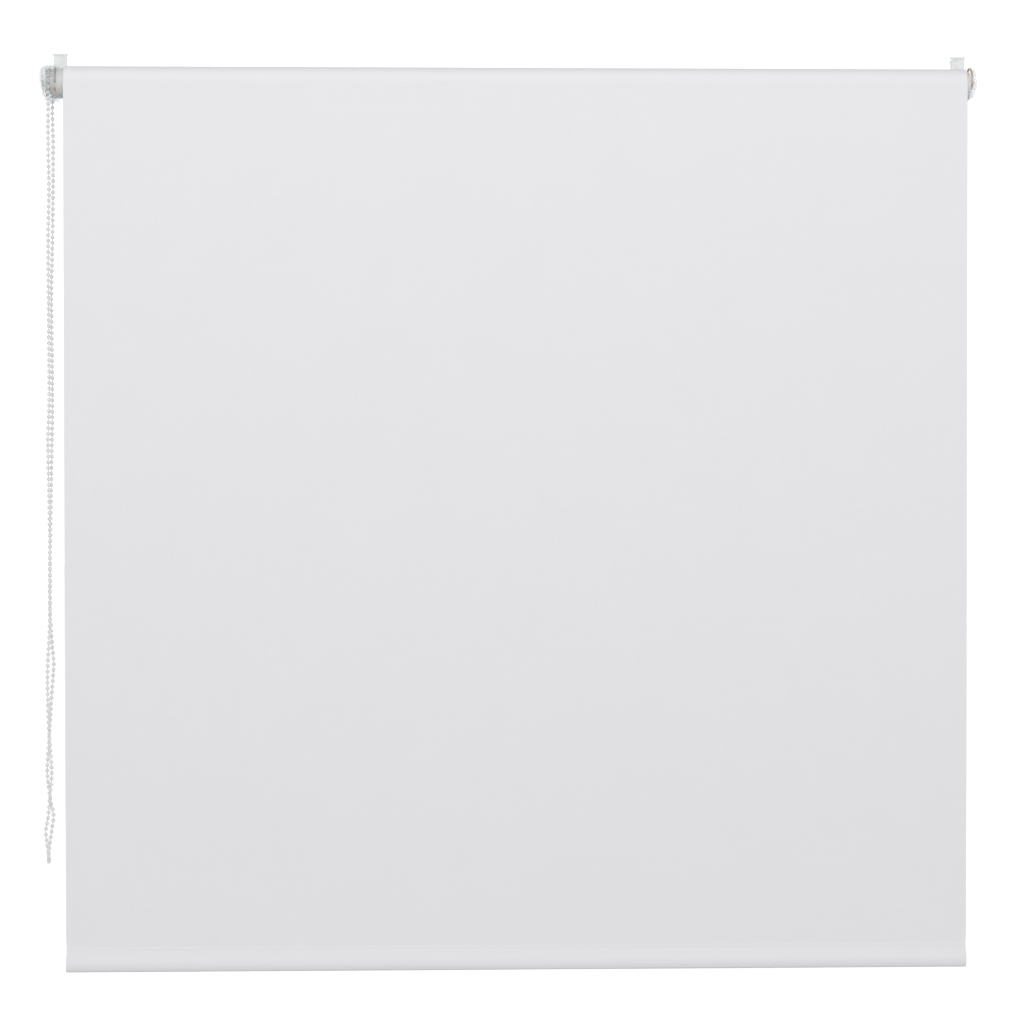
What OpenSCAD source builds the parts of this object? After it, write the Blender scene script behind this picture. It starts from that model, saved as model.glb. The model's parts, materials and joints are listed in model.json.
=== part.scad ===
// Roller blind with clear end brackets, over-the-sash hooks, a bead-chain drive and a spring-pin idler.
// Lengths are in millimetres. +X runs along the roller, +Y towards the window sash, +Z up.
// The origin is the middle of the four bracket screws, on the plane where the brackets meet the sash.

/* [Fabric] */
// Width of the fabric
fabric_w = 958; // [400:1:1600]
// Height from the roller's axis down to the bottom edge of the hem
drop = 942; // [400:1:1600]
// Thickness of the fabric
fabric_t = 0.4; // [0.3:0.05:0.6]
// Turns of fabric that stay wound under the hanging panel
wraps = 3; // [1:1:5]
// Height of the hem above the bar, where its two layers lie together up to the weld
weld_h = 9.1; // [2:0.1:20]

/* [Roller] */
// Outer diameter of the roller tube
tube_d = 32; // [28:0.5:40]
// Wall of the roller tube
tube_wall = 1; // [0.8:0.1:1.5]
// Space between the roll of fabric and the back plates
roll_gap = 2.8; // [1:0.1:20]

/* [Bottom bar] */
// Height of the bar's section
bar_h = 16; // [12:0.5:30]
// Thickness of the bar's section
bar_t = 6; // [4:0.5:8]
// Radius of the bar's upper and lower edges
bar_edge_r = 1.6; // [1.4:0.1:1.9]
// Wall of the hollow bar
bar_wall = 1.2; // [0.8:0.1:1.6]

/* [Brackets] */
// Thickness of the back plate
plate_t = 5; // [4.5:0.5:8]
// Back plate above the heads of the upper screws
plate_up = 3.2; // [1:0.1:20]
// Back plate below the heads of the lower screws
plate_down = 2.2; // [1:0.1:20]
// Thickness of the cheek that carries the roller
cheek_t = 2.5; // [2:0.25:4]
// Radius of the cheek's round end
cheek_r = 8.5; // [7.5:0.5:9]
// Screw hole diameter
screw_d = 3.8; // [3:0.1:4.4]
// Distance between the two screws of a bracket
screw_gap = 20; // [16:1:28]

/* [Covers] */
// Wall of the clear covers
cover_wall = 1.5; // [1:0.25:2]
// Space between the beads on the wheel and the chain cover's wall
cover_room = 2.6; // [1:0.1:6]
// Top of the idle cover above the roller's axis
idle_cover_up = 19.3; // [16:0.1:21]
// Bottom of the idle cover below the roller's axis
idle_cover_down = 15.5; // [12:0.1:21]

/* [Sash hooks] */
// Thickness of the sash between a bracket and its jaw
sash_t = 14; // [12:0.5:40]
// Height of the hooks above the roller's axis
hook_up = 35; // [33:0.5:50]
// Width of the hook's plate
hook_w = 14.4; // [10:0.2:18]

/* [Chain drive] */
// Diameter of a bead
bead_d = 4.5; // [3.6:0.1:5.6]
// Distance between beads along the chain
bead_pitch = 6; // [5:0.1:7.2]
// Pockets around the chain wheel
pockets = 14; // [12:2:18]
// Width of the chain wheel
wheel_w = 8; // [7.6:0.1:9.6]
// Diameter of the fixed spindle
spindle_d = 10; // [8:0.5:12]

/* [Idle end] */
// Diameter of the spring-loaded pin
pin_d = 6; // [5:0.2:7.2]
// How far the pin can be pushed in
pin_travel = 5; // [4:0.5:6]

/* [Hidden] */
$fn = 64;
hull_fn = 48;
eps = 0.01;

// clearances
run = 0.06;    // radial, of a shaft that turns in its bore
slide = 0.15;  // of a flat piece that slides in another
cover_gap = 0.15;  // between the chain cover and the back plate
gap = 0.3;     // between pieces that only pass each other
end_play = 0.5;

// colours
CLEAR = [0.86, 0.89, 0.91, 0.45];
FROST = [0.86, 0.87, 0.87, 0.8];
WHITE = [0.93, 0.93, 0.92];
CLOTH = [0.90, 0.90, 0.90];
STEEL = [0.62, 0.63, 0.65];
ALU = [0.76, 0.77, 0.79];
FOAM = [0.82, 0.82, 0.80];

// where the roller's axis, the fabric's edges and the bracket screws lie
screw_to_axis = 2;       // the screws' middle stands this far above the axis
left_screw_out = 9;      // the left screws, outside the fabric's left edge
right_screw_in = 2;      // the right screws, inside the fabric's right edge
screw_span = fabric_w + left_screw_out - right_screw_in;
xl = left_screw_out - screw_span / 2;
xr = xl + fabric_w;
left_screw_x = xl - left_screw_out;
right_screw_x = xr - right_screw_in;
axis_z = -screw_to_axis;

// roller
tube_r = tube_d / 2;
tube_in = tube_r - tube_wall;
roll_r = tube_r + wraps * fabric_t;
pitch_r = bead_pitch / 2 / sin(180 / pockets);
bead_r = bead_d / 2;
chain_cover_r = pitch_r + bead_r + cover_room + cover_wall;
axis_depth = plate_t + max(roll_r + roll_gap, chain_cover_r + cover_gap);
axis_y = -axis_depth;
lug_w = 3;
lug_h = 1.1;
core_r = tube_in - lug_h - gap;
rib_r = tube_in - 0.1;
rib_w = 1.5;
collar_r = tube_r - 0.5;
tape_t = 0.2;
tape_deg = 30;
tape_inset = 5;

// drive end, counted outwards from the fabric's left edge
collar_l = 11.5;
wheel_in = collar_l + end_play;
wheel_out = wheel_in + wheel_w;
wheel_mid = (wheel_in + wheel_out) / 2;
flange_t = 1;
flange_out = wheel_out + 0.1 + flange_t;
cheek_in = flange_out + 0.1;
cheek_out = cheek_in + cheek_t;
cover_lap = 4;   // of the chain cover over the drive hub's collar
cover_rim = collar_l - cover_lap;
exit_play = 0.7;
chain_cover_out = cheek_out + 3.9;
spindle_r = spindle_d / 2;
flange_r = spindle_r + 1.5;
key_w = spindle_d - 2;
key_play = 0.05;
sleeve_r = spindle_r + 3;
sleeve_l = 6;
finger_l = 12;
finger_wall = 0.8;
finger_deg = 200;
hub_bore = sleeve_r + gap;
hub_l = 32;
web_x = 18.5;
web_t = 1;
clip_x = web_x + web_t + gap;
clip_t = 1.5;
clip_r = spindle_r + 3.2;
clip_gap = 4;
brake_wire = 1;
brake_turns = 7;
brake_pitch = 1.2;
brake_x = sleeve_l + 1.5;

// chain wheel
bead_play = 0.1;
floor_r = pitch_r - 1.5;
rim_r = pitch_r + 1.3;
groove_w = bead_d + 0.7;
string_r = 0.4;
recess_r = floor_r - 1;
recess_d = 3;

// idle end, counted outwards from the fabric's right edge
idle_collar = 4;
idle_cheek_in = idle_collar + 1;
idle_cheek_out = idle_cheek_in + cheek_t;
idle_cover_rim = idle_cheek_in - 0.6;
idle_cover_out = idle_cheek_out + 4.5;
plug_l = 30;
front_wall = 4;
pin_r = pin_d / 2;
pin_tip = 1;
head_r = pin_r + 2.2;
head_t = 2.2;
pocket_r = head_r + gap;
cap_x = plug_l - 6;
cap_t = 2;
tail_r = pin_r - 1;
tail_end = cap_x - pin_travel - 1;
idle_wire = 0.7;
idle_turns = 9;

// sash hooks
channel_play = 0.2;
hook_t = 1.5;
hook_slot_w = 5;
hook_slot_h = screw_gap + hook_slot_w + 2;
hook_bottom = -hook_slot_h / 2 - hook_t;
hook_top = axis_z + hook_up;
dovetail = 0.7;
shelf_w = 6;
shelf_t = 2.2;
lip_w = hook_w + 2;
lip_d = 3;
lip_t = 1.6;
plate_side = 3.8;
notch_step = 2;
notch_w = 0.8;
notch_d = 0.4;
jaw_wall = 1.4;
jaw_w = shelf_w + 2 * (slide + jaw_wall);
jaw_l = 5;
jaw_drop = 16;
jaw_t = 1.8;
jaw_in = 2;    // how far the jaw can move towards the brackets from where it stands
jaw_out = 6;   // and how far outwards
pad_t = 1;
pad_h = 11;
pad_side = 0.4;
pad_low = 0.5;
shelf_end = sash_t + pad_t + jaw_l + jaw_out + end_play;

// hanging fabric, hem and bar
panel_y = axis_y - roll_r - gap - fabric_t / 2;
hem_bottom = axis_z - drop;
bar_play = 0.15;
weld_sink = 0.1;
hem_top = hem_bottom + bar_h + 2 * (bar_play + fabric_t) + weld_h - weld_sink;
bar_z = hem_bottom + fabric_t + bar_play + bar_h / 2;
bar_inset = 3;
bar_cap_t = 2;
bar_cap_plug = 8;
least_edge_r = 0.2;  // inside the bar's edges
weld_t = 2 * fabric_t;

// the free bead chain, from the wheel's middle: front strand down, the loop's end, rear strand up
chain_route = [
    [-0.1, -13.5, -12.5], [-0.2, -13.5, -30], [-0.4, -13.5, -64], [0.3, -13, -117], [-0.8, -13, -170],
    [-0.5, -12.5, -266], [-0.4, -12.5, -335], [-2, -12, -383], [-1, -12, -436], [-0.5, -11.5, -511],
    [-0.8, -11, -566], [-3.3, -11, -617], [-3.5, -10.5, -651], [-2.1, -10.5, -690], [0.3, -10, -731],
    [-1.9, -10, -759], [-3.9, -9.5, -779], [-6.2, -9.5, -795], [-3.5, -9, -818], [-3.8, -6.5, -824.5],
    [-4.7, 0, -827], [-5.6, 6.5, -824.5], [-6.2, 9, -818], [-3.1, 9.5, -795], [-1.2, 9.5, -779],
    [-4.9, 10, -759], [-7.6, 10, -731], [-5.4, 10.5, -695], [-3.2, 10.5, -657], [-0.6, 11, -619],
    [-2, 11, -598], [-4.4, 11.5, -560], [-4.1, 11.5, -511], [-3, 12, -444], [-1.1, 12.5, -335],
    [-1.8, 13, -229], [-0.4, 13, -162], [0.6, 13.5, -74], [0, 13.5, -37], [-0.1, 13.5, -12.5]
];
chain_steps = 2;
chain_sides = 8;

// ---- shared shapes ----

module at_axis() {
    translate([0, axis_y, axis_z]) children();
}

// extrudes a flat shape, whose own x and y become Y and Z, from x0 to x1
module along_x(x0, x1) {
    translate([x0, 0, 0]) rotate([90, 0, 90]) linear_extrude(x1 - x0) children();
}

module rod(x0, x1, r) {
    at_axis() along_x(x0, x1) circle(r);
}

module ring(x0, x1, r, hole) {
    at_axis() along_x(x0, x1) difference() {
        circle(r);
        circle(hole);
    }
}

module box(low, high) {
    translate(low) cube(high - low);
}

module rounded(w, h, r) {
    square([w - 2 * r, h], center = true);
    square([w, h - 2 * r], center = true);
    for (sx = [-1, 1], sy = [-1, 1]) translate([sx * (w / 2 - r), sy * (h / 2 - r)]) circle(r);
}

// a flat shape with round top and bottom
module oval(half_w, height) {
    square([2 * half_w, height - 2 * half_w], center = true);
    for (s = [-1, 1]) translate([0, s * (height / 2 - half_w)]) circle(half_w);
}

// the bottom bar's flat section, its faces bowed and its edges round, grown all round
module bar_section(grow) {
    half_w = bar_t / 2 + grow;
    half_h = bar_h / 2 + grow;
    edge_r = max(bar_edge_r + grow, least_edge_r);
    rise = half_h - edge_r;
    face_r = (half_w + edge_r) / 2 + rise * rise / 2 / (half_w - edge_r);
    intersection() {
        translate([face_r - half_w, 0]) circle(face_r, $fn = 4 * $fn);
        translate([half_w - face_r, 0]) circle(face_r, $fn = 4 * $fn);
        square([2 * half_w, 2 * rise * face_r / (face_r - edge_r)], center = true);
    }
    for (s = [-1, 1]) translate([0, s * rise]) circle(edge_r);
}

function unit(v) = v / norm(v);

// a smooth curve through points, n steps to each stretch
function smooth(p, n) = [
    for (i = [0 : len(p) - 2], k = [0 : n - 1])
        let (
            t = k / n,
            a = p[max(i - 1, 0)],
            b = p[i],
            c = p[i + 1],
            d = p[min(i + 2, len(p) - 1)]
        )
        0.5 * (2 * b + t * (c - a) + t * t * (2 * a - 5 * b + 4 * c - d)
            + t * t * t * (3 * b - a - 3 * c + d)),
    p[len(p) - 1]
];

// a tube of equal sides along a path that never runs along X
module sweep(path, r, sides) {
    n = len(path);
    points = [
        for (i = [0 : n - 1])
            let (
                t = unit(path[min(i + 1, n - 1)] - path[max(i - 1, 0)]),
                u = unit([1, 0, 0] - t[0] * t),
                v = cross(t, u)
            )
            for (k = [0 : sides - 1])
                path[i] + r * (cos(360 * k / sides) * u + sin(360 * k / sides) * v)
    ];
    walls = [
        for (i = [0 : n - 2], k = [0 : sides - 1])
            let (m = (k + 1) % sides)
            [i * sides + k, (i + 1) * sides + k, (i + 1) * sides + m, i * sides + m]
    ];
    first = [for (k = [0 : sides - 1]) k];
    last = [for (k = [sides - 1 : -1 : 0]) (n - 1) * sides + k];
    polyhedron(points, concat(walls, [first], [last]), convexity = 10);
}

// a coil of wire around the roller's axis
module coil(x0, coil_r, wire_r, turns, pitch) {
    steps = 20;
    sides = 6;
    n = turns * steps;
    points = [
        for (i = [0 : n], k = [0 : sides - 1])
            let (
                a = 360 * i / steps,
                b = 360 * k / sides,
                r = coil_r + wire_r * cos(b)
            )
            [x0 + pitch * i / steps + wire_r * sin(b), r * cos(a), r * sin(a)]
    ];
    walls = [
        for (i = [0 : n - 1], k = [0 : sides - 1])
            let (m = (k + 1) % sides)
            [i * sides + k, i * sides + m, (i + 1) * sides + m, (i + 1) * sides + k]
    ];
    first = [for (k = [sides - 1 : -1 : 0]) k];
    last = [for (k = [0 : sides - 1]) n * sides + k];
    at_axis() polyhedron(points, concat(walls, [first], [last]), convexity = 20);
}

// ---- brackets and covers ----

// the trapezoid slide that holds a hook against the sash; play widens it all round
module dovetail_slide(screw_x, z0, z1, play) {
    front = hook_w / 2 + play;
    translate([screw_x, 0, z0]) linear_extrude(z1 - z0) polygon([
        [-front, -hook_t - channel_play - play],
        [front, -hook_t - channel_play - play],
        [front - dovetail, -channel_play + play],
        [dovetail - front, -channel_play + play]
    ]);
}

module screw_holes(screw_x) {
    sink = screw_d / 2;
    for (s = [-1, 1]) translate([screw_x, 0, s * screw_gap / 2]) rotate([90, 0, 0]) {
        translate([0, 0, -1]) cylinder(h = plate_t + 2, d = screw_d);
        translate([0, 0, plate_t - sink]) cylinder(h = sink + eps, r1 = screw_d / 2, r2 = screw_d / 2 + sink);
    }
}

// a back plate from x0 to x1 with one cheek, and the round hole or square socket that children() cut
module bracket(x0, x1, cheek_x, screw_x) {
    z0 = -screw_gap / 2 - screw_d - plate_down;
    z1 = screw_gap / 2 + screw_d + plate_up;
    difference() {
        union() {
            translate([(x0 + x1) / 2, 0, (z0 + z1) / 2]) rotate([90, 0, 0])
                linear_extrude(plate_t) rounded(x1 - x0, z1 - z0, 2);
            at_axis() along_x(cheek_x, cheek_x + cheek_t) {
                circle(cheek_r);
                translate([0, -cheek_r]) square([axis_depth, 2 * cheek_r]);
            }
        }
        dovetail_slide(screw_x, z0 - 1, z1 + 1, channel_play);
        box([screw_x - hook_w / 2 + dovetail, -channel_play - eps, z0 - 1],
            [screw_x + hook_w / 2 - dovetail, 1, z1 + 1]);
        screw_holes(screw_x);
        children();
    }
}

module left_bracket() {
    side = key_w + 2 * key_play;
    inner = left_screw_x + hook_w / 2 + plate_side;
    color(CLEAR) bracket(xl - cheek_out, inner, xl - cheek_out, left_screw_x)
        at_axis() along_x(xl - cheek_out - 1, xl - cheek_in + 1) square(side, center = true);
}

module right_bracket() {
    inner = right_screw_x - hook_w / 2 - plate_side;
    color(CLEAR) bracket(inner, xr + idle_cheek_out, xr + idle_cheek_in, right_screw_x)
        rod(xr + idle_cheek_in - 1, xr + idle_cheek_out + 1, pin_r + run);
}

// a round dome closing from its shoulder to its tip: high and low give its top and bottom at those two
// places, and shrink moves every wall inwards
module dome(rim, shoulder, tip, high, low, shrink) {
    steps = 8;
    side = sign(tip - shoulder);
    open_rim = rim - side * (shrink > 0 ? 1 : 0);
    hull() {
        at_axis() along_x(min(open_rim, shoulder), max(open_rim, shoulder))
            translate([0, (high[0] + low[0]) / 2]) circle((high[0] - low[0]) / 2 - shrink);
        for (i = [1 : steps]) {
            x = shoulder + (tip - side * shrink - shoulder) * sin(90 * i / steps);
            top = high[1] + (high[0] - high[1]) * cos(90 * i / steps) - shrink;
            bottom = low[1] + (low[0] - low[1]) * pow(cos(90 * i / steps), 2) + shrink;
            at_axis() along_x(x - 0.02, x + 0.02)
                translate([0, (top + bottom) / 2]) circle((top - bottom) / 2);
        }
    }
}

module chain_dome(shrink) {
    dome(xl - cover_rim, xl - wheel_out, xl - chain_cover_out, [chain_cover_r, chain_cover_r - 10.8],
        [-chain_cover_r, 0], shrink, $fn = hull_fn);
}

module left_cover() {
    arm = cheek_r + gap;
    exit_w = bead_d + 2 * exit_play;
    color(CLEAR) {
        difference() {
            chain_dome(0);
            chain_dome(cover_wall);
            at_axis() box([xl - cheek_out - gap, cheek_r, -arm], [xl, axis_depth, arm]);
            for (s = [-1, 1]) at_axis()
                box([xl - wheel_mid - exit_w / 2, s * pitch_r - exit_w / 2, -chain_cover_r - 1],
                    [xl, s * pitch_r + exit_w / 2, -bead_d]);
        }
        rod(xl - chain_cover_out + cover_wall / 2, xl - cheek_out, 4);
    }
}

module idle_dome(shrink) {
    dome(xr + idle_cover_rim, xr + idle_cheek_out + gap, xr + idle_cover_out,
        [idle_cover_up, idle_cover_up - 7], [-idle_cover_down, 10 - idle_cover_down], shrink, $fn = hull_fn);
}

module right_cover() {
    arm = cheek_r + gap;
    color(CLEAR) {
        difference() {
            idle_dome(0);
            idle_dome(cover_wall);
            at_axis() box([xr, cheek_r, -arm], [xr + idle_cheek_out + gap, axis_depth, arm]);
        }
        ring(xr + idle_cheek_out, xr + idle_cover_out - cover_wall / 2, pin_r + 2, pin_r + 0.6);
    }
}

// ---- sash hooks ----

module sash_hook(screw_x) {
    color(FROST) difference() {
        union() {
            dovetail_slide(screw_x, hook_bottom, hook_top, 0);
            box([screw_x - shelf_w / 2, -hook_t, hook_top - shelf_t],
                [screw_x + shelf_w / 2, shelf_end, hook_top]);
            box([screw_x - lip_w / 2, -lip_d - channel_play, hook_top - lip_t],
                [screw_x + lip_w / 2, -channel_play - 0.5, hook_top]);
        }
        translate([screw_x, 0, 0]) rotate([90, 0, 0]) translate([0, 0, -1]) linear_extrude(hook_t + 2)
            oval(hook_slot_w / 2, hook_slot_h);
        for (y = [sash_t + pad_t - jaw_in : notch_step : shelf_end - notch_step])
            box([screw_x - shelf_w, y, hook_top - notch_d], [screw_x + shelf_w, y + notch_w, hook_top + 1]);
    }
}

module sash_jaw(screw_x) {
    front = sash_t + pad_t;
    top = hook_top + slide + jaw_wall;
    under = hook_top - shelf_t - slide - jaw_wall;
    color(CLEAR) difference() {
        union() {
            box([screw_x - jaw_w / 2, front, under], [screw_x + jaw_w / 2, front + jaw_l, top]);
            box([screw_x - jaw_w / 2, front, hook_top - jaw_drop],
                [screw_x + jaw_w / 2, front + jaw_t, under + 1]);
        }
        box([screw_x - shelf_w / 2 - slide, front - 1, hook_top - shelf_t - slide],
            [screw_x + shelf_w / 2 + slide, front + jaw_l + 1, hook_top + slide]);
    }
}

module jaw_pad(screw_x) {
    z0 = hook_top - jaw_drop + pad_low;
    color(FOAM) box([screw_x - jaw_w / 2 + pad_side, sash_t, z0],
        [screw_x + jaw_w / 2 - pad_side, sash_t + pad_t, z0 + pad_h]);
}

module left_hook() { sash_hook(left_screw_x); }
module right_hook() { sash_hook(right_screw_x); }
module left_jaw() { sash_jaw(left_screw_x); }
module right_jaw() { sash_jaw(right_screw_x); }
module left_pad() { jaw_pad(left_screw_x); }
module right_pad() { jaw_pad(right_screw_x); }

// ---- chain drive ----

module drive_spindle() {
    color(WHITE) {
        at_axis() along_x(xl - cheek_out, xl - cheek_in + 0.1) square(key_w, center = true);
        rod(xl - flange_out, xl - flange_out + flange_t, flange_r);
        rod(xl - flange_out, xl + clip_x + clip_t + 0.7, spindle_r);
    }
}

module spindle_clip() {
    color(STEEL) difference() {
        ring(xl + clip_x, xl + clip_x + clip_t, clip_r, spindle_r + 0.02);
        at_axis() box([xl + clip_x - 1, -clip_gap / 2, 0],
            [xl + clip_x + clip_t + 1, clip_gap / 2, clip_r + 1]);
    }
}

module brake_spring() {
    color(STEEL) coil(xl + brake_x, spindle_r + run + 0.15 + brake_wire / 2, brake_wire / 2,
        brake_turns, brake_pitch);
}

module chain_wheel() {
    color(WHITE) difference() {
        union() {
            rod(xl - wheel_out, xl - wheel_in, rim_r);
            rod(xl - wheel_in - 1, xl + sleeve_l, sleeve_r);
            at_axis() translate([xl + sleeve_l - eps, 0, 0]) rotate([0, 90, 0])
                rotate_extrude(angle = finger_deg)
                    translate([sleeve_r - finger_wall, 0]) square([finger_wall, finger_l]);
        }
        at_axis() translate([xl - wheel_mid, 0, 0]) rotate([0, 90, 0]) {
            rotate_extrude() translate([floor_r, -groove_w / 2]) square([rim_r, groove_w]);
            for (i = [0 : pockets - 1]) rotate([0, 0, -90 + i * 360 / pockets])
                translate([pitch_r, 0, 0]) sphere(bead_r + bead_play);
        }
        ring(xl - wheel_out - 1, xl - wheel_out + recess_d, recess_r, sleeve_r);
        rod(xl - wheel_out - 1, xl + sleeve_l + 1, spindle_r + run);
    }
}

// the beads that lie in the wheel's pockets over its top half, on their string
module wheel_beads() {
    color(WHITE) at_axis() translate([xl - wheel_mid, 0, 0]) {
        for (i = [0 : pockets / 2]) rotate([-i * 360 / pockets, 0, 0])
            translate([0, -pitch_r, 0]) sphere(bead_r);
        rotate([0, -90, 0]) rotate([0, 0, -90]) rotate_extrude(angle = 180)
            translate([pitch_r, 0]) circle(string_r, $fn = 24);
    }
}

// a ribbed core that fills the tube's end, with a collar outside it
module tube_end(core_l, rib_l, collar) {
    ring(-1, core_l, core_r, 1);
    for (i = [0 : 7]) at_axis() rotate([i * 45 + 22.5, 0, 0])
        box([0, -rib_w / 2, core_r - 1], [rib_l, rib_w / 2, rib_r]);
    ring(-collar, 0, collar_r, 1);
}

module drive_hub() {
    groove_step = 3;
    color(WHITE) translate([xl, 0, 0]) difference() {
        union() tube_end(hub_l, hub_l - 2, collar_l);
        rod(-collar_l - 1, web_x, hub_bore);
        rod(-collar_l - 1, hub_l + 1, spindle_r + run);
        rod(web_x + web_t, hub_l + 1, clip_r + gap);
        for (x = [-collar_l + 2.5 : groove_step : -2]) ring(x, x + 0.6, collar_r + 1, collar_r - 0.4);
    }
}

// ---- roller and fabric ----

module roller_tube() {
    color(ALU) {
        ring(xl, xr, tube_r, tube_in);
        at_axis() along_x(xl, xr) intersection() {
            translate([-lug_w / 2, tube_in - lug_h]) square([lug_w, lug_h + tube_wall / 2]);
            circle(tube_r - tube_wall / 4);
        }
    }
}

module tape_arc(x0, x1) {
    at_axis() translate([x0, 0, 0]) rotate([0, 90, 0]) rotate([0, 0, 180 - tape_deg / 2])
        rotate_extrude(angle = tape_deg) translate([tube_r, 0]) square([tape_t, x1 - x0]);
}

module mounting_tape() {
    color(FOAM) tape_arc(xl + tape_inset, xr - tape_inset);
}

module fabric_roll() {
    color(CLOTH) difference() {
        ring(xl, xr, roll_r, tube_r);
        tape_arc(xl + tape_inset, xr - tape_inset);
    }
}

module fabric_panel() {
    color(CLOTH) box([xl, panel_y - fabric_t / 2, hem_top + gap], [xr, panel_y + fabric_t / 2, axis_z]);
}

module hem_pocket() {
    weld_low = bar_z + bar_h / 2 + bar_play + fabric_t / 2;
    color(CLOTH) translate([0, panel_y, bar_z]) along_x(xl, xr) difference() {
        union() {
            bar_section(bar_play + fabric_t);
            translate([-weld_t / 2, weld_low - bar_z]) square([weld_t, hem_top - weld_low]);
        }
        bar_section(bar_play);
    }
}

module bottom_bar() {
    end = bar_inset + bar_cap_t;
    color(WHITE) translate([0, panel_y, bar_z]) along_x(xl + end, xr - end) difference() {
        bar_section(0);
        bar_section(-bar_wall);
    }
}

// a bar cap whose flange starts at x; side is +1 where its plug points to +X
module bar_cap(x, side) {
    play = 0.05;
    flange = [x, x + side * bar_cap_t];
    plug = [x, x + side * (bar_cap_t + bar_cap_plug)];
    color(WHITE) translate([0, panel_y, bar_z]) {
        along_x(min(flange), max(flange)) bar_section(0);
        along_x(min(plug), max(plug)) bar_section(-bar_wall - play);
    }
}

module left_bar_cap() { bar_cap(xl + bar_inset, 1); }
module right_bar_cap() { bar_cap(xr - bar_inset, -1); }

// ---- idle end ----

module idle_plug() {
    color(WHITE) difference() {
        translate([xr, 0, 0]) mirror([1, 0, 0]) tube_end(plug_l, plug_l - 2, idle_collar);
        rod(xr - front_wall - 1, xr + idle_collar + 1, pin_r + run);
        rod(xr - plug_l - 1, xr - front_wall, pocket_r);
    }
}

module idle_cap() {
    color(WHITE) ring(xr - cap_x - cap_t, xr - cap_x, pocket_r - 0.02, tail_r + gap);
}

module idle_pin() {
    color(STEEL) {
        rod(xr - front_wall - head_t - gap, xr + idle_cheek_out, pin_r);
        at_axis() translate([xr + idle_cheek_out, 0, 0]) rotate([0, 90, 0])
            cylinder(h = pin_tip, r1 = pin_r, r2 = pin_r - pin_tip);
        rod(xr - front_wall - head_t - gap, xr - front_wall - gap, head_r);
        rod(xr - tail_end, xr - front_wall - head_t, tail_r);
    }
}

module idle_spring() {
    x0 = xr - cap_x + idle_wire / 2;
    x1 = xr - front_wall - head_t - gap - idle_wire / 2;
    color(STEEL) coil(x0, (tail_r + pocket_r) / 2, idle_wire / 2, idle_turns, (x1 - x0) / idle_turns);
}

// ---- free chain ----

module ball_chain() {
    color(WHITE) at_axis() translate([xl - wheel_mid, 0, 0])
        sweep(smooth(chain_route, chain_steps), bead_r, chain_sides);
}

left_bracket();
right_bracket();
left_cover();
right_cover();
left_hook();
right_hook();
left_jaw();
right_jaw();
left_pad();
right_pad();
drive_spindle();
spindle_clip();
brake_spring();
chain_wheel();
wheel_beads();
drive_hub();
roller_tube();
mounting_tape();
fabric_roll();
fabric_panel();
hem_pocket();
bottom_bar();
left_bar_cap();
right_bar_cap();
idle_plug();
idle_cap();
idle_pin();
idle_spring();
ball_chain();
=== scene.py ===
import json
import math

import bmesh
import bpy
import numpy as np
from mathutils import Matrix, Vector

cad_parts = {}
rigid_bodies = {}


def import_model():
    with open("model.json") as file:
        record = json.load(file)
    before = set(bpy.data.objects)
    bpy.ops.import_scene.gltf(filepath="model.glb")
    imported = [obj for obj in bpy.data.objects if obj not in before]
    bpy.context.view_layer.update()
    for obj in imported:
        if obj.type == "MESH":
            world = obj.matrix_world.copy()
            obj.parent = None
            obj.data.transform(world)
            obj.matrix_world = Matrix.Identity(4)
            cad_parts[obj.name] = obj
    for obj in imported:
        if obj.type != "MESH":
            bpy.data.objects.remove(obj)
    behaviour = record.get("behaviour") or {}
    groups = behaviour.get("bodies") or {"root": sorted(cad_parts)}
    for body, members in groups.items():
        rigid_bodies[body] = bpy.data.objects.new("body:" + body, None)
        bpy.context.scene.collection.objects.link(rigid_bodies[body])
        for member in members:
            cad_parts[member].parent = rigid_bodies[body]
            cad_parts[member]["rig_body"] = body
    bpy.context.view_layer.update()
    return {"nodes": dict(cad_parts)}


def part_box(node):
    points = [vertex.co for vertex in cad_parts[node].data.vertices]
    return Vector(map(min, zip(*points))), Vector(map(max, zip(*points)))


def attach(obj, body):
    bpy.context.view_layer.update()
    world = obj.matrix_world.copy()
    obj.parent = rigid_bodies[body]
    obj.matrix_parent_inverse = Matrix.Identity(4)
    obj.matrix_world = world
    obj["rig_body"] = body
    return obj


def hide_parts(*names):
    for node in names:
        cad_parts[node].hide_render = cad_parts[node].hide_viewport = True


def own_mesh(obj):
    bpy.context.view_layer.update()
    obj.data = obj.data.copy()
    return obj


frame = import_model()
MM = 0.001

# ---- places, from the CAD nodes ----

roll_low, roll_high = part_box("fabric_roll")
panel_low, panel_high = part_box("fabric_panel")
hem_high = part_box("hem_pocket")[1]
wheel_low, wheel_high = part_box("wheel_beads")
tube_low, tube_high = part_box("roller_tube")
LEFT, RIGHT = roll_low.x, roll_high.x
AXIS_Y, AXIS_Z = (roll_low.y + roll_high.y) / 2, (roll_low.z + roll_high.z) / 2
TUBE_R = (tube_high.z - tube_low.z) / 2
CLOTH_T = panel_high.y - panel_low.y
PANEL_Y = (panel_low.y + panel_high.y) / 2
WHEEL_X = (wheel_low.x + wheel_high.x) / 2
BEAD_R = (wheel_high.x - wheel_low.x) / 2
PITCH_R = (wheel_high.y - wheel_low.y) / 2 - BEAD_R


def at_axis(x, y=0.0, z=0.0):
    return Vector((x, AXIS_Y + y, AXIS_Z + z))


# ---- camera ----

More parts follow.
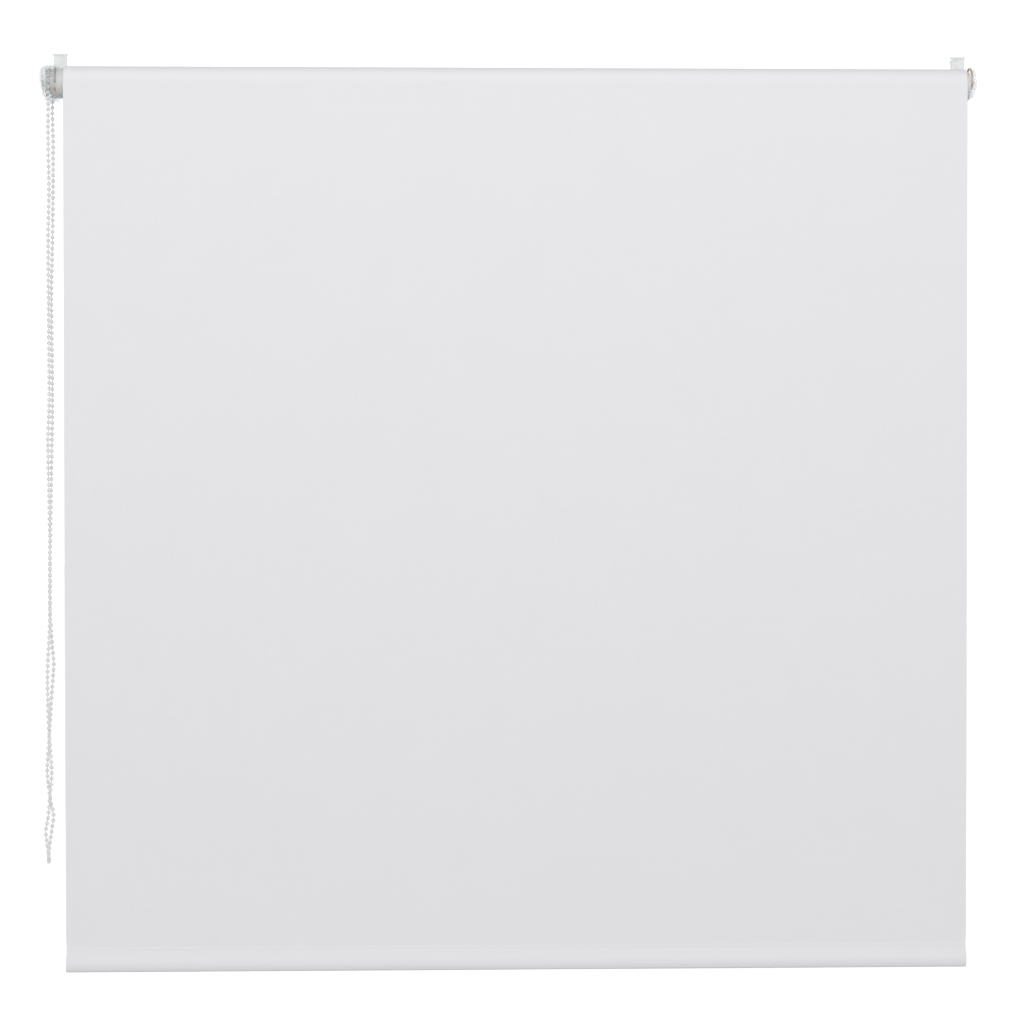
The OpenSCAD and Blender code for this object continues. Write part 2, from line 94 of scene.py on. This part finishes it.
def make_camera():
    yaw, pitch, roll = math.radians(1.587), math.radians(-0.892), math.radians(-0.052)
    forward = Vector((math.sin(yaw) * math.cos(pitch), math.cos(yaw) * math.cos(pitch), math.sin(pitch)))
    right = Vector((math.cos(yaw), -math.sin(yaw), 0))
    up = right.cross(forward)
    right, up = (math.cos(roll) * right + math.sin(roll) * up, math.cos(roll) * up - math.sin(roll) * right)
    data = bpy.data.cameras.new("camera")
    data.lens = 85
    data.sensor_width = 36
    cam = bpy.data.objects.new("camera", data)
    turned = Matrix((right, up, -forward)).transposed().to_4x4()
    cam.matrix_world = Matrix.Translation((-0.0719, -2.607, -0.4171)) @ turned
    bpy.context.scene.collection.objects.link(cam)
    bpy.context.scene.camera = cam


make_camera()

# ---- material nodes ----


class Nodes:
    """A short way to write a material: one Principled surface, with procedural colour, roughness and bump."""

    def __init__(self, name):
        self.mat = bpy.data.materials.new(name)
        self.mat.use_nodes = True
        self.tree = self.mat.node_tree
        self.tree.nodes.clear()
        self.out = self.add("ShaderNodeOutputMaterial")
        self.surface = self.add("ShaderNodeBsdfPrincipled")
        self.link(self.surface.outputs[0], self.out.inputs[0])
        self.place = self.add("ShaderNodeTexCoord").outputs["Object"]

    def add(self, kind, **settings):
        node = self.tree.nodes.new(kind)
        for key, value in settings.items():
            setattr(node, key, value)
        return node

    def link(self, a, b):
        self.tree.links.new(a, b)

    def set(self, **values):
        names = {"rough": "Roughness", "metal": "Metallic", "ior": "IOR", "clear": "Transmission Weight",
                 "sheen": "Sheen Weight", "sheen_rough": "Sheen Roughness", "specular": "Specular IOR Level",
                 "along": "Anisotropic"}
        for key, value in values.items():
            self.surface.inputs[names[key]].default_value = value

    def scaled(self, x, y, z):
        mapping = self.add("ShaderNodeMapping")
        mapping.inputs["Scale"].default_value = (x, y, z)
        self.link(self.place, mapping.inputs[0])
        return mapping.outputs[0]

    def noise(self, size, detail=3.0, rough=0.5, where=None):
        node = self.add("ShaderNodeTexNoise")
        node.inputs["Scale"].default_value = 1 / size
        node.inputs["Detail"].default_value = detail
        node.inputs["Roughness"].default_value = rough
        self.link(where or self.place, node.inputs["Vector"])
        return node.outputs["Fac"]

    def wave(self, size, direction, warp=0.0, warp_size=0.01):
        node = self.add("ShaderNodeTexWave", bands_direction=direction)
        node.inputs["Scale"].default_value = 2 * math.pi / 20 / size
        node.inputs["Distortion"].default_value = warp
        node.inputs["Detail Scale"].default_value = size / warp_size
        self.link(self.place, node.inputs["Vector"])
        return node.outputs["Fac"]

    def math(self, how, a, b=None):
        node = self.add("ShaderNodeMath", operation=how)
        for i, value in enumerate((a, b)):
            if isinstance(value, (int, float)):
                node.inputs[i].default_value = value
            elif value is not None:
                self.link(value, node.inputs[i])
        return node.outputs[0]

    def spread(self, value, low, high):
        node = self.add("ShaderNodeMapRange")
        node.inputs["To Min"].default_value = low
        node.inputs["To Max"].default_value = high
        self.link(value, node.inputs["Value"])
        return node.outputs[0]

    def colours(self, value, low, high):
        node = self.add("ShaderNodeMix", data_type="RGBA")
        node.inputs[6].default_value = (*low, 1)
        node.inputs[7].default_value = (*high, 1)
        self.link(value, node.inputs[0])
        return node.outputs[2]

    def bump(self, height, strength, depth, below=None):
        node = self.add("ShaderNodeBump")
        node.inputs["Strength"].default_value = strength
        node.inputs["Distance"].default_value = depth
        self.link(height, node.inputs["Height"])
        if below is not None:
            self.link(below, node.inputs["Normal"])
        return node.outputs[0]

    def base(self, socket):
        self.link(socket, self.surface.inputs["Base Color"])

    def rough(self, socket):
        self.link(socket, self.surface.inputs["Roughness"])

    def normal(self, socket):
        self.link(socket, self.surface.inputs["Normal"])


def let_through(m, share, colour, kind="ShaderNodeBsdfTranslucent", lit=0.0):
    """Gives a share of the surface to light from behind it, and the share lit to light on its way inside."""
    glow = m.add(kind)
    m.link(colour, glow.inputs["Color"])
    mix = m.add("ShaderNodeMixShader")
    mix.inputs[0].default_value = share
    if lit:
        path = m.add("ShaderNodeLightPath")
        inward = m.math("MAXIMUM", path.outputs["Is Shadow Ray"], path.outputs["Is Diffuse Ray"])
        m.link(m.math("MAXIMUM", m.math("MULTIPLY", inward, lit), share), mix.inputs[0])
    m.link(m.out.inputs[0].links[0].from_socket, mix.inputs[1])
    m.link(glow.outputs[0], mix.inputs[2])
    m.link(mix.outputs[0], m.out.inputs[0])


def cloth_material(name, low, high, through, gloss):
    """Close plain weave of slightly uneven yarns, which lets some light through."""
    m = Nodes(name)
    warp = m.wave(0.45 * MM, "X", 0.6, 6 * MM)
    weft = m.wave(0.45 * MM, "Z", 0.6, 6 * MM)
    weave = m.math("MULTIPLY", warp, weft)
    across, down = (m.noise(1.0, 2, 0.5, m.scaled(*stretch)) for stretch in ((30, 30, 900), (900, 30, 30)))
    slubs = m.math("ADD", across, down)
    cloudy = m.noise(60 * MM, 3, 0.55)
    tone = m.math("ADD", m.math("MULTIPLY", slubs, 0.35), m.math("MULTIPLY", cloudy, 0.3))
    colour = m.colours(tone, low, high)
    m.base(colour)
    m.rough(m.spread(weave, gloss, gloss + 0.12))
    m.normal(m.bump(m.math("ADD", weave, m.math("MULTIPLY", slubs, 0.7)), 0.25, 0.06 * MM))
    m.set(sheen=0.12, sheen_rough=0.4, specular=0.25)
    let_through(m, through, colour)
    return m.mat


def plastic_material(name, low, high, gloss, grain=0.25, through=0.0, bare=0.0, lit=0.0, **extra):
    m = Nodes(name)
    colour = m.colours(m.noise(9 * MM, 3), low, high)
    m.base(colour)
    m.rough(m.spread(m.noise(0.8 * MM, 4), gloss - 0.05, gloss + 0.07))
    fine = m.bump(m.noise(grain * MM, 2), 0.12, 0.02 * MM)
    m.normal(m.bump(m.noise(7 * MM, 2), 0.15, 0.12 * MM, fine))
    m.set(**extra)
    if through:
        let_through(m, through, colour)
    if bare:
        let_through(m, bare, colour, "ShaderNodeBsdfTransparent", lit)
    return m.mat


def metal_material(name, low, high, gloss, stretch, along=0.0):
    m = Nodes(name)
    lines = m.noise(1.0, 4, 0.6, m.scaled(*stretch))
    m.base(m.colours(m.noise(12 * MM, 3), low, high))
    m.rough(m.spread(lines, gloss - 0.08, gloss + 0.12))
    m.normal(m.bump(lines, 0.15, 0.02 * MM))
    m.set(metal=1.0, along=along)
    return m.mat


def foam_material():
    m = Nodes("foam")
    cells = m.add("ShaderNodeTexVoronoi")
    cells.inputs["Scale"].default_value = 1 / (0.5 * MM)
    m.link(m.place, cells.inputs["Vector"])
    m.base(m.colours(cells.outputs["Distance"], (0.62, 0.62, 0.6), (0.82, 0.82, 0.8)))
    m.normal(m.bump(cells.outputs["Distance"], 0.6, 0.15 * MM))
    m.set(rough=0.9, sheen=0.1)
    return m.mat


CLOTH = cloth_material("cloth", (0.80, 0.80, 0.82), (0.85, 0.85, 0.87), 0.05, 0.80)
WELD = cloth_material("weld", (0.82, 0.82, 0.83), (0.86, 0.86, 0.87), 0.05, 0.50)
CLEAR = plastic_material("clear_plastic", (0.955, 0.965, 0.97), (0.975, 0.98, 0.985), 0.08, 0.6, bare=0.76,
                         lit=0.93, clear=1.0, ior=1.49)
# painted reflection: a tan tint that stands in for a warm reflection in the clear covers' rims
PAINTED_WARM_REFLECTION = plastic_material("clear_plastic_painted_warm_reflection", (0.56, 0.43, 0.31), (0.64, 0.51, 0.39), 0.3, 0.4,
                         bare=0.3)
# painted shade: a grey band that stands in for the shadow in the gap between the left cover's rim and the
# collar
PAINTED_GAP_SHADE = plastic_material("clear_plastic_painted_gap_shade", (0.50, 0.50, 0.52), (0.58, 0.58, 0.60), 0.3, 0.4,
                         bare=0.5, lit=0.8)
FROST = plastic_material("frosted_plastic", (0.93, 0.935, 0.935), (0.95, 0.955, 0.955), 0.42, 0.3,
                         through=0.6, bare=0.3)
WHITE = plastic_material("white_plastic", (0.85, 0.85, 0.84), (0.89, 0.89, 0.88), 0.4, 0.3, through=0.3)
BEADS = plastic_material("bead_plastic", (0.90, 0.90, 0.89), (0.93, 0.93, 0.93), 0.3, 0.5,
                         through=0.75, bare=0.12)
STRING = plastic_material("chain_string", (0.80, 0.80, 0.79), (0.85, 0.85, 0.84), 0.5, 0.2, through=0.5)
STEEL = metal_material("steel", (0.52, 0.53, 0.55), (0.6, 0.61, 0.63), 0.28, (3000, 300, 300))
ALUMINIUM = metal_material("aluminium", (0.72, 0.73, 0.75), (0.8, 0.81, 0.82), 0.35, (20, 1500, 1500), 0.5)
FOAM = foam_material()
TAPE = plastic_material("tape", (0.72, 0.71, 0.66), (0.8, 0.79, 0.74), 0.5, 0.4)

# ---- mesh helpers ----


def make_piece(name, points, faces, material, body, slot, smooth_angle, replaces=()):
    mesh = bpy.data.meshes.new(name)
    mesh.from_pydata([tuple(p) for p in points], [], faces)
    return finish_piece(name, mesh, material, body, smooth_angle, replaces)


def finish_piece(name, mesh, material, body, smooth_angle, replaces=()):
    bm = bmesh.new()
    bm.from_mesh(mesh)
    bmesh.ops.recalc_face_normals(bm, faces=bm.faces)
    for edge in bm.edges:
        edge.smooth = len(edge.link_faces) != 2 or edge.calc_face_angle(0) < math.radians(smooth_angle)
    for face in bm.faces:
        face.smooth = True
    bm.to_mesh(mesh)
    bm.free()
    mesh.materials.append(material)
    obj = bpy.data.objects.new(name, mesh)
    bpy.context.scene.collection.objects.link(obj)
    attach(obj, body)
    if replaces:
        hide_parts(*replaces)
    return obj


def grid_faces(rows, columns, close_columns=False):
    """Faces of a grid whose point (i, j) is at i * columns + j."""
    faces = []
    for i in range(rows - 1):
        for j in range(columns if close_columns else columns - 1):
            k, m = i + 1, (j + 1) % columns
            faces.append((i * columns + j, i * columns + m, k * columns + m, k * columns + j))
    return faces


def sheet_ends(rows, columns):
    """Faces that close the ends of a grid whose rows run along a sheet's front and back along its rear."""
    faces = []
    for base in (0, (rows - 1) * columns):
        for i in range(columns // 2 - 1):
            faces.append((base + i, base + i + 1, base + columns - 2 - i, base + columns - 1 - i))
    return faces


def tube(path, radius, sides=8):
    """Points and faces of a round tube along a path of Vectors, with flat ends."""
    points = []
    for i, p in enumerate(path):
        t = (path[min(i + 1, len(path) - 1)] - path[max(i - 1, 0)]).normalized()
        u = (Vector((1, 0, 0)) - t * t.x).normalized()
        v = t.cross(u)
        for k in range(sides):
            a = 2 * math.pi * k / sides
            points.append(p + radius * (math.cos(a) * u + math.sin(a) * v))
    faces = grid_faces(len(path), sides, close_columns=True)
    last = (len(path) - 1) * sides
    return points, faces + [tuple(range(sides)), tuple(last + k for k in reversed(range(sides)))]


def ball(centre, radius, axis, segments=16, rings=9):
    """Points and faces of a ball whose poles lie along axis."""
    t = axis.normalized()
    u = (Vector((1, 0, 0)) - t * t.x).normalized()
    v = t.cross(u)
    points = [centre - t * radius]
    for i in range(1, rings):
        a = math.pi * i / rings
        for k in range(segments):
            b = 2 * math.pi * k / segments
            points.append(centre - t * radius * math.cos(a)
                          + radius * math.sin(a) * (math.cos(b) * u + math.sin(b) * v))
    points.append(centre + t * radius)
    faces = []
    for k in range(segments):
        m = (k + 1) % segments
        faces.append((0, 1 + m, 1 + k))
        top = 1 + (rings - 2) * segments
        faces.append((len(points) - 1, top + k, top + m))
    faces += [tuple(1 + n for n in f) for f in grid_faces(rings - 1, segments, close_columns=True)]
    return points, faces


def join(parts):
    """Several (points, faces) as one."""
    points, faces = [], []
    for p, f in parts:
        faces += [tuple(len(points) + n for n in face) for face in f]
        points += p
    return points, faces


# ---- the bead chain: its route, from the wheel's middle in millimetres, is the same as its CAD solid's ----

CHAIN_ROUTE = [
    (-0.1, -13.5, -12.5), (-0.2, -13.5, -30), (-0.4, -13.5, -64), (0.3, -13, -117), (-0.8, -13, -170),
    (-0.5, -12.5, -266), (-0.4, -12.5, -335), (-2, -12, -383), (-1, -12, -436), (-0.5, -11.5, -511),
    (-0.8, -11, -566), (-3.3, -11, -617), (-3.5, -10.5, -651), (-2.1, -10.5, -690), (0.3, -10, -731),
    (-1.9, -10, -759), (-3.9, -9.5, -779), (-6.2, -9.5, -795), (-3.5, -9, -818), (-3.8, -6.5, -824.5),
    (-4.7, 0, -827), (-5.6, 6.5, -824.5), (-6.2, 9, -818), (-3.1, 9.5, -795), (-1.2, 9.5, -779),
    (-4.9, 10, -759), (-7.6, 10, -731), (-5.4, 10.5, -695), (-3.2, 10.5, -657), (-0.6, 11, -619),
    (-2, 11, -598), (-4.4, 11.5, -560), (-4.1, 11.5, -511), (-3, 12, -444), (-1.1, 12.5, -335),
    (-1.8, 13, -229), (-0.4, 13, -162), (0.6, 13.5, -74), (0, 13.5, -37), (-0.1, 13.5, -12.5),
]
BEAD_PITCH = 6 * MM


def smooth(points, steps):
    """A curve through points, with that many steps to each stretch."""
    curve = []
    for i in range(len(points) - 1):
        a, b, c, d = points[max(i - 1, 0)], points[i], points[i + 1], points[min(i + 2, len(points) - 1)]
        for k in range(steps):
            t = k / steps
            curve.append(0.5 * (2 * b + t * (c - a) + t * t * (2 * a - 5 * b + 4 * c - d)
                                + t ** 3 * (3 * b - a - 3 * c + d)))
    return curve + [points[-1]]


def along(path, spacing):
    """Points from end to end of a path, evenly and about spacing apart, and the directions there."""
    steps = [(b - a).length for a, b in zip(path, path[1:])]
    total = sum(steps)
    count = round(total / spacing)
    found, i, done = [], 0, 0.0
    for n in range(count + 1):
        want = total * n / count
        while i < len(steps) - 1 and done + steps[i] < want:
            done += steps[i]
            i += 1
        here = path[i].lerp(path[i + 1], (want - done) / steps[i])
        found.append((here, (path[i + 1] - path[i]).normalized()))
    return found


def make_chain():
    start = at_axis(WHEEL_X)
    route = [start + Vector(p) * MM for p in CHAIN_ROUTE]
    ends = (Vector((WHEEL_X, AXIS_Y - PITCH_R, AXIS_Z)), Vector((WHEEL_X, AXIS_Y + PITCH_R, AXIS_Z)))
    whole = [ends[0], *smooth(route, 8), ends[1]]
    beads = along(whole, BEAD_PITCH)[1:-1]
    parts = [ball(p, BEAD_R, t) for p, t in beads]
    line = [p for p, _ in along(whole, 3 * MM)][1:-1]
    string = tube(line, 0.45 * MM, 6)
    chain = make_piece("bead_chain", *join(parts), BEADS, "brackets", "bead_plastic", 80, ["ball_chain"])
    cord = make_piece("chain_string", *string, STRING, "brackets", "bead_plastic", 60)


def make_wheel_beads():
    """The beads in the wheel's pockets, over its top half, on their string."""
    middle = at_axis(WHEEL_X)
    count = 8
    parts = []
    for i in range(count):
        a = math.pi * i / (count - 1)
        out = Vector((0, -math.cos(a), math.sin(a)))
        parts.append(ball(middle + PITCH_R * out, BEAD_R, Vector((0, math.sin(a), math.cos(a)))))
    arc = [middle + PITCH_R * Vector((0, -math.cos(a), math.sin(a))) for a in np.linspace(0, math.pi, 43)]
    make_piece("wheel_bead_row", *join(parts), BEADS, "wheel", "bead_plastic", 80, ["wheel_beads"])
    make_piece("wheel_string", *tube(arc, 0.4 * MM, 6), STRING, "wheel", "bead_plastic", 60)


make_chain()
make_wheel_beads()

# ---- fabric ----

# the sheet's middle leaves the roll at this radius, so that it runs straight on into the hanging panel
OUTER_MID = AXIS_Y - PANEL_Y
INNER_MID = TUBE_R + 0.25 * MM + CLOTH_T / 2
TURNS = 3


def make_roll():
    """The turns of cloth on the tube, wound as a spiral that ends where the panel leaves it at the front."""
    steps = 96 * TURNS
    stations = np.linspace(LEFT, RIGHT, 25)
    rings = []
    for x in stations:
        ring = []
        for side in (1, -1):
            order = range(steps + 1) if side == 1 else range(steps, -1, -1)
            for i in order:
                turn = TURNS * i / steps
                a = 2 * math.pi * turn - math.radians(1.2) * (i == 0)
                r = OUTER_MID + (INNER_MID - OUTER_MID) * turn / TURNS + side * CLOTH_T / 2
                ring.append(at_axis(x, -r * math.cos(a), r * math.sin(a)))
        rings.append(ring)
    count = len(rings[0])
    points = [p for ring in rings for p in ring]
    faces = grid_faces(len(rings), count, close_columns=True)
    faces += sheet_ends(len(rings), count)
    return make_piece("cloth_roll", points, faces, CLOTH, "roller", "fabric", 40, ["fabric_roll"])


def undulation(x, share):
    """How far the hanging cloth stands in front of its plane, at x and at a share of its way down."""
    u = (x - LEFT) / (RIGHT - LEFT)
    held = math.sin(math.pi * min(share, 1) ** 1.6) ** 1.2
    # two pairs of shallow folds on a slow sway
    soft = (
        1.5 * math.exp(-((u - 0.335 - 0.02 * share) / 0.045) ** 2)
        - 1.2 * math.exp(-((u - 0.41) / 0.05) ** 2)
        + 1.3 * math.exp(-((u - 0.66 + 0.12 * (share - 0.8)) / 0.05) ** 2)
        - 0.9 * math.exp(-((u - 0.74) / 0.06) ** 2)
        + 0.8 * math.sin(9.0 * u + 3.0 * share)
        + 0.5 * math.sin(17.0 * u - 5.0 * share + 1.0)
    )
    return (1.1 + 0.6 * soft) * held * MM


def pinch(z):
    """How far the cloth's side edges draw in at height z: most at the hem's weld."""
    return 0.5 * MM * math.exp(-((z - WELD_Z) / (9 * MM)) ** 2)


BAR_LOW, BAR_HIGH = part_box("bottom_bar")
BAR_Z = (BAR_LOW.z + BAR_HIGH.z) / 2
BAR_H = (BAR_HIGH.z - BAR_LOW.z) / 2
BAR_T = (BAR_HIGH.y - BAR_LOW.y) / 2
WELD_Z = hem_high.z - 1.4 * MM


def make_panel():
    columns, rows = 121, 141
    front, back = [], []
    for i in range(rows):
        share = i / (rows - 1)
        z = panel_high.z + (panel_low.z - panel_high.z) * share
        for j in range(columns):
            u = j / (columns - 1)
            x = LEFT + (RIGHT - LEFT) * u
            x -= pinch(z) * (2 * u - 1) ** 15
            y = PANEL_Y - undulation(x, share)
            front.append((x, y - CLOTH_T / 2, z))
            back.append((x, y + CLOTH_T / 2, z))
    count = rows * columns
    faces = grid_faces(rows, columns)
    faces += [tuple(count + n for n in reversed(f)) for f in grid_faces(rows, columns)]
    rim = ([j for j in range(columns)] + [i * columns + columns - 1 for i in range(1, rows)]
           + [(rows - 1) * columns + j for j in range(columns - 2, -1, -1)]
           + [i * columns for i in range(rows - 2, 0, -1)])
    faces += [(a, b, count + b, count + a) for a, b in zip(rim, rim[1:] + rim[:1])]
    panel = make_piece("cloth_panel", front + back, faces, CLOTH, "brackets", "fabric", 40, ["fabric_panel"])
    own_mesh(panel)
    return panel


def hem_profile():
    """The hem's middle line as (y, z) from the panel's plane: down the bar's front, round it and up again."""
    t = CLOTH_T / 2
    grow = 0.15 * MM + t
    edge_r = 1.6 * MM + grow
    rise = BAR_H + grow - edge_r
    half_w = BAR_T + grow
    face_r = (half_w + edge_r) / 2 + rise ** 2 / 2 / (half_w - edge_r)
    turn = math.asin(rise / (face_r - edge_r))  # where the bowed face runs into the round edge
    weld_low = WELD_Z - 1.5 * MM
    front = [(0, panel_low.z), (-0.02 * MM, WELD_Z + 1.5 * MM), (-0.1 * MM, WELD_Z + 1.2 * MM),
             (-0.1 * MM, WELD_Z), (-0.08 * MM, weld_low + 0.3 * MM), (0.02 * MM, weld_low - 0.2 * MM)]
    # below the weld the cloth runs straight to where it touches the bar's bowed face
    inward, up = face_r - half_w, weld_low - 0.6 * MM - BAR_Z
    touch = math.atan2(up, inward) - math.acos(face_r / math.hypot(inward, up))
    front.append((0, weld_low - 0.6 * MM))
    for a in np.linspace(touch, -turn, 25)[:-1]:
        front.append((inward - face_r * math.cos(a), BAR_Z + face_r * math.sin(a)))
    bottom = [(-edge_r * math.sin(a), BAR_Z - rise - edge_r * math.cos(a))
              for a in np.linspace(math.pi / 2 - turn, turn - math.pi / 2, 15)]
    back = [(max(-y, 2.2 * t), z) for y, z in reversed(front) if z <= WELD_Z + 1.5 * MM]
    return front, bottom, back


def make_hem():
    front, bottom, back = hem_profile()
    line = front + bottom + back
    stations = np.linspace(0, 1, 97)
    flat = [Vector((y, z)) for y, z in line]
    normals = []
    for i, p in enumerate(flat):
        d = (flat[min(i + 1, len(flat) - 1)] - flat[max(i - 1, 0)]).normalized()
        normals.append(Vector((d.y, -d.x)))
    sign = 1 if normals[0].x < 0 else -1
    rings = []
    for u in stations:
        x = LEFT + (RIGHT - LEFT) * u
        ring = []
        for side in (1, -1):
            order = range(len(flat)) if side == 1 else range(len(flat) - 1, -1, -1)
            for i in order:
                p = flat[i] + side * sign * normals[i] * CLOTH_T / 2
                ring.append(Vector((x - pinch(p.y) * (2 * u - 1) ** 15, PANEL_Y + p.x, p.y)))
        rings.append(ring)
    count = len(rings[0])
    faces = grid_faces(len(rings), count, close_columns=True)
    faces += sheet_ends(len(rings), count)
    points = [p for ring in rings for p in ring]
    hem = make_piece("cloth_hem", points, faces, CLOTH, "bar", "fabric", 40, ["hem_pocket"])
    hem.data.materials.append(WELD)
    for f in hem.data.polygons:
        if abs(f.center.z - WELD_Z) < 1.5 * MM:
            f.material_index = 1
    return hem


roll = make_roll()
panel = make_panel()
hem = make_hem()

# ---- hard pieces ----


def soften(name, node, width, material, segments=2, angle=32):
    """A copy of a CAD node with whole planar faces and slightly rounded edges, which stands for the node."""
    source = frame["nodes"][node]
    body = source["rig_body"]
    bm = bmesh.new()
    bm.from_mesh(source.data)
    bmesh.ops.remove_doubles(bm, verts=bm.verts, dist=1e-6)
    bmesh.ops.dissolve_limit(bm, angle_limit=math.radians(1), verts=bm.verts, edges=bm.edges)
    sharp = [e for e in bm.edges if len(e.link_faces) == 2 and e.calc_face_angle(0) > math.radians(angle)]
    bmesh.ops.bevel(bm, geom=sharp, offset=width, segments=segments, affect="EDGES", clamp_overlap=True,
                    profile=0.5, miter_outer="ARC")
    bmesh.ops.remove_doubles(bm, verts=bm.verts, dist=1e-7)
    mesh = bpy.data.meshes.new(name)
    bm.to_mesh(mesh)
    bm.free()
    return finish_piece(name, mesh, material, body, 40, [node])


rims = {"left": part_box("left_cover")[1].x, "right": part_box("right_cover")[0].x}
covers = {}
for side in rims:
    covers[side] = soften(f"{side}_cover_shape", f"{side}_cover", 0.3 * MM, CLEAR)
    for part in ("bracket", "jaw"):
        soften(f"{side}_{part}_shape", f"{side}_{part}", 0.3 * MM, CLEAR)
    soften(f"{side}_hook_shape", f"{side}_hook", 0.3 * MM, FROST)


def paint_rim_shade_and_reflection(obj, rim, depth, low, high, material):
    """Gives a band of the cover's rim its own material, to depth from the rim and from low to high in Z; here
    that material is painted shade or painted reflection.
    """
    bm = bmesh.new()
    bm.from_mesh(obj.data)
    inner = rim + depth
    for point, normal in (((inner, 0, 0), (1, 0, 0)), ((0, 0, low), (0, 0, 1)), ((0, 0, high), (0, 0, 1))):
        whole = bm.verts[:] + bm.edges[:] + bm.faces[:]
        bmesh.ops.bisect_plane(bm, geom=whole, plane_co=point, plane_no=normal)
    obj.data.materials.append(material)
    number = len(obj.data.materials) - 1
    for face in bm.faces:
        middle = face.calc_center_median()
        if min(rim, inner) - 1e-5 < middle.x < max(rim, inner) + 1e-5 and low < middle.z < high:
            face.material_index = number
    bm.to_mesh(obj.data)
    bm.free()


# painted shade along the left cover's rim, where the gap to the collar lies in shadow
paint_rim_shade_and_reflection(covers["left"], rims["left"], -2 * MM, AXIS_Z - 2 * MM, AXIS_Z + 14 * MM, PAINTED_GAP_SHADE)
# painted reflection: a small tan spot low on the left cover's rim, below the collar
paint_rim_shade_and_reflection(covers["left"], rims["left"], -2.5 * MM, AXIS_Z - 11 * MM, AXIS_Z - 7 * MM, PAINTED_WARM_REFLECTION)
# painted reflection: a tan line along the right cover's rim
paint_rim_shade_and_reflection(covers["right"], rims["right"], 1.9 * MM, AXIS_Z - 3 * MM, AXIS_Z + 30 * MM, PAINTED_WARM_REFLECTION)


def make_idle_spring():
    """A copy of the pin's spring with a mesh of its own; the real spring shortens towards its inner end as
    the pin is pushed in.
    """
    source = frame["nodes"]["idle_spring"]
    spring = finish_piece("idle_spring_shape", source.data.copy(), STEEL, source["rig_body"], 40,
                          ["idle_spring"])
    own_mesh(spring)


make_idle_spring()

PAINT = {
    "left_pad": FOAM, "right_pad": FOAM, "drive_spindle": WHITE, "spindle_clip": STEEL, "brake_spring": STEEL,
    "chain_wheel": WHITE, "drive_hub": WHITE, "roller_tube": ALUMINIUM, "mounting_tape": TAPE,
    "bottom_bar": WHITE, "left_bar_cap": WHITE, "right_bar_cap": WHITE, "idle_plug": WHITE, "idle_cap": WHITE,
    "idle_pin": STEEL,
}
for node, material in PAINT.items():
    data = frame["nodes"][node].data
    data.materials.clear()
    data.materials.append(material)

# ---- floor, light and world ----


def make_floor():
    mesh = bpy.data.meshes.new("floor")
    z = -1.07
    mesh.from_pydata([(-12, -9, z), (12, -9, z), (12, 15, z), (-12, 15, z)], [], [(0, 1, 2, 3)])
    floor = bpy.data.objects.new("floor", mesh)
    bpy.context.scene.collection.objects.link(floor)
    m = Nodes("floor")
    m.base(m.colours(m.noise(0.4, 3), (0.86, 0.86, 0.86), (0.9, 0.9, 0.9)))
    m.set(rough=0.6)
    m.surface.inputs["Emission Color"].default_value = (1, 1, 1, 1)
    m.surface.inputs["Emission Strength"].default_value = 0.5
    mesh.materials.append(m.mat)
    floor.visible_diffuse = False
    floor.visible_glossy = False
    floor.visible_transmission = True


def make_lights():
    data = bpy.data.lights.new("key", "AREA")
    data.shape = "RECTANGLE"
    data.size, data.size_y = 1.6, 1.2
    data.energy = 66
    light = bpy.data.objects.new("key", data)
    light.location = (-0.1, -3.6, 1.7)
    light.rotation_mode = "QUATERNION"
    light.rotation_quaternion = (Vector((0.0, 0.0, -0.3)) - light.location).to_track_quat("-Z", "Y")
    bpy.context.scene.collection.objects.link(light)


def make_world():
    """A white screen behind the object, and a room in front of it that is lightest at the camera's height."""
    world = bpy.data.worlds.new("studio")
    world.use_nodes = True
    tree = world.node_tree
    tree.nodes.clear()
    place = tree.nodes.new("ShaderNodeTexCoord").outputs["Generated"]
    split = tree.nodes.new("ShaderNodeSeparateXYZ")
    tree.links.new(place, split.inputs[0])

    def ramp(axis, low, high, start, end):
        node = tree.nodes.new("ShaderNodeMapRange")
        node.interpolation_type = "SMOOTHSTEP"
        for key, number in (("From Min", start), ("From Max", end), ("To Min", low), ("To Max", high)):
            node.inputs[key].default_value = number
        tree.links.new(split.outputs[axis], node.inputs["Value"])
        return node.outputs[0]

    add = tree.nodes.new("ShaderNodeMath")
    add.operation = "ADD"
    tree.links.new(ramp("Z", 0.37, 0.45, -0.6, 0.4), add.inputs[0])
    tree.links.new(ramp("Y", 0.0, 1.0, 0.45, 0.75), add.inputs[1])
    level = tree.nodes.new("ShaderNodeMath")
    level.operation = "MULTIPLY"
    tree.links.new(ramp("Z", 0.45, 1.0, -0.7, 0.0), level.inputs[0])
    tree.links.new(ramp("Z", 1.0, 0.35, 0.1, 0.75), level.inputs[1])
    front = tree.nodes.new("ShaderNodeMath")
    front.operation = "MULTIPLY_ADD"
    tree.links.new(ramp("Y", 0.0, 0.79, -0.1, -0.9), front.inputs[0])
    tree.links.new(level.outputs[0], front.inputs[1])
    tree.links.new(add.outputs[0], front.inputs[2])
    shade = tree.nodes.new("ShaderNodeBackground")
    tree.links.new(front.outputs[0], shade.inputs["Strength"])
    out = tree.nodes.new("ShaderNodeOutputWorld")
    tree.links.new(shade.outputs[0], out.inputs[0])
    bpy.context.scene.world = world
    bpy.context.scene.view_settings.view_transform = "Standard"


make_floor()
make_lights()
make_world()
